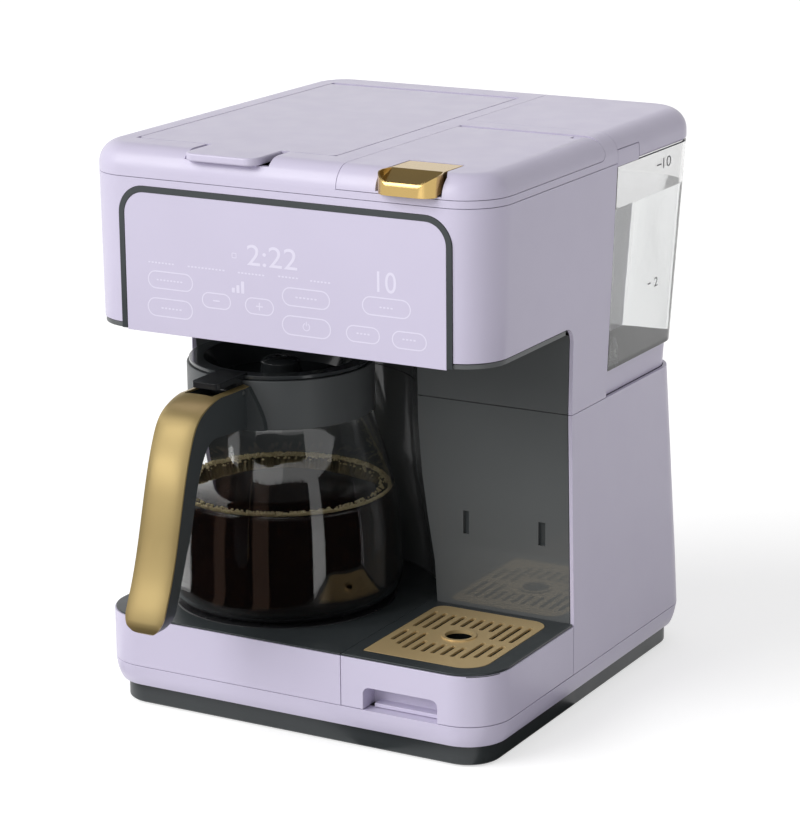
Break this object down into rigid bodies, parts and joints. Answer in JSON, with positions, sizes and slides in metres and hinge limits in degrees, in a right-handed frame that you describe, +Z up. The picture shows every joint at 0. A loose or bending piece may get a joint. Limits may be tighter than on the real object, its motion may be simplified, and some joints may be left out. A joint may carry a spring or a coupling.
{
  "type": "coffee maker",
  "caption": "Two-way drip and single-serve coffee maker with glass carafe, removable water tank, hinged lids, drip drawer and a touch panel.",
  "frame": {"origin": "under the middle of the whole outline, handle included, on the table", "axes": "+Z up, -Y to the front where the panel faces, +X to the user's right where the cup and the tank are"},
  "size_m": [0.288, 0.3838, 0.371],
  "materials": {
    "rubber": "matte black rubber",
    "charcoal": "satin charcoal plastic",
    "black_gloss": "glossy near-black plastic",
    "lavender": "satin lavender plastic",
    "inner_plastic": "grey moulded inner plastic",
    "steel": "plain steel",
    "gold": "satin champagne gold metal finish",
    "clear": "clear glass",
    "tank_clear": "clear tank plastic",
    "silicone": "translucent silicone",
    "board": "green circuit board",
    "aluminium": "cast aluminium"
  },
  "bodies": {
    "machine": {"base_floor": "inner_plastic", "base_screws": "steel", "brew_riser": "silicone", "brew_well": "charcoal", "control_board": "board", "cord_gland": "charcoal", "deck_plate": "charcoal", "flow_valve": "charcoal", "foot_tray": "charcoal", "head_underside": "charcoal", "lid_pins": "steel", "lower_housing": "lavender", "lower_liner": "black_gloss", "panel_outline": "charcoal", "pod_riser": "silicone", "pod_well": "charcoal", "pump_hose": "silicone", "rubber_pads": "rubber", "skirt": "lavender", "tank_hose": "silicone", "tank_pedestal": "lavender", "top_deck": "inner_plastic", "top_frame": "lavender", "touch_panel": "lavender", "upper_housing": "lavender", "upper_liner": "black_gloss", "warming_plate": "aluminium", "water_heater": "aluminium", "water_pump": "charcoal"},
    "brew_lid": {"brew_lid": "lavender", "shower_head": "inner_plastic"},
    "pod_lid": {"pod_lid": "lavender", "latch_pin": "steel", "latch_spring": "steel", "upper_needle": "steel", "pod_seal": "rubber"},
    "latch": {"thumb_latch": "gold"},
    "pod_holder": {"pod_holder": "charcoal", "lower_needle": "steel"},
    "basket": {"brew_basket": "charcoal", "filter_cup": "inner_plastic", "drip_spring": "steel"},
    "drip_stop": {"drip_stop": "rubber"},
    "tank": {"water_tank": "tank_clear", "tank_lid_pin": "steel", "tank_catch": "lavender", "valve_cage": "charcoal", "valve_spring": "steel"},
    "tank_valve": {"tank_valve": "charcoal"},
    "tank_lid": {"tank_lid": "lavender"},
    "drawer": {"drip_drawer": "lavender", "drip_surround": "charcoal"},
    "grate": {"drip_grate": "gold"},
    "carafe": {"carafe_glass": "clear", "carafe_collar": "charcoal", "carafe_handle": "charcoal", "handle_cover": "gold", "carafe_lid_pin": "steel"},
    "carafe_lid": {"carafe_lid": "charcoal", "lid_tongue": "charcoal"}
  },
  "joints": [
    {"name": "brew_lid_hinge", "type": "hinge", "parent": "machine", "child": "brew_lid", "pos_m": [-0.0475, 0.15355, 0.366], "axis": [-1, 0, 0], "range_deg": [0, 90]},
    {"name": "pod_lid_hinge", "type": "hinge", "parent": "machine", "child": "pod_lid", "pos_m": [0.08275, 0.04055, 0.366], "axis": [-1, 0, 0], "range_deg": [0, 85]},
    {"name": "latch_pivot", "type": "hinge", "parent": "pod_lid", "child": "latch", "pos_m": [0.0907, -0.08145, 0.3656], "axis": [-1, 0, 0], "range_deg": [0, 8], "stiffness_Nm_per_rad": 0.2},
    {"name": "pod_holder_lift", "type": "slide", "parent": "machine", "child": "pod_holder", "axis": [0, 0, 1], "range_m": [0, 0.004]},
    {"name": "basket_lift", "type": "slide", "parent": "machine", "child": "basket", "axis": [0, 0, 1], "range_m": [0, 0.005]},
    {"name": "drip_stop_travel", "type": "slide", "parent": "basket", "child": "drip_stop", "axis": [0, 0, 1], "range_m": [0, 0.003], "stiffness_N_per_m": 300, "deforming": ["drip_spring"]},
    {"name": "tank_lift", "type": "slide", "parent": "machine", "child": "tank", "axis": [0, 0.0576, 0.9983], "range_m": [0, 0.12]},
    {"name": "tank_valve_travel", "type": "slide", "parent": "tank", "child": "tank_valve", "axis": [0, 0, 1], "range_m": [0, 0.003], "stiffness_N_per_m": 300, "deforming": ["valve_spring"]},
    {"name": "tank_lid_hinge", "type": "hinge", "parent": "tank", "child": "tank_lid", "pos_m": [0.085, 0.18885, 0.3537], "axis": [-1, 0, 0], "range_deg": [0, 100]},
    {"name": "drawer_slide", "type": "slide", "parent": "machine", "child": "drawer", "axis": [0, -1, 0], "range_m": [0, 0.12]},
    {"name": "grate_lift", "type": "slide", "parent": "drawer", "child": "grate", "axis": [0, 0, 1], "range_m": [0, 0.03]},
    {"name": "carafe_slide", "type": "slide", "parent": "machine", "child": "carafe", "axis": [0, -1, 0], "range_m": [0, 0.24]},
    {"name": "carafe_lid_hinge", "type": "hinge", "parent": "carafe", "child": "carafe_lid", "pos_m": [-0.054, -0.09045, 0.216], "axis": [1, 0, 0], "range_deg": [0, 4]}
  ]
}
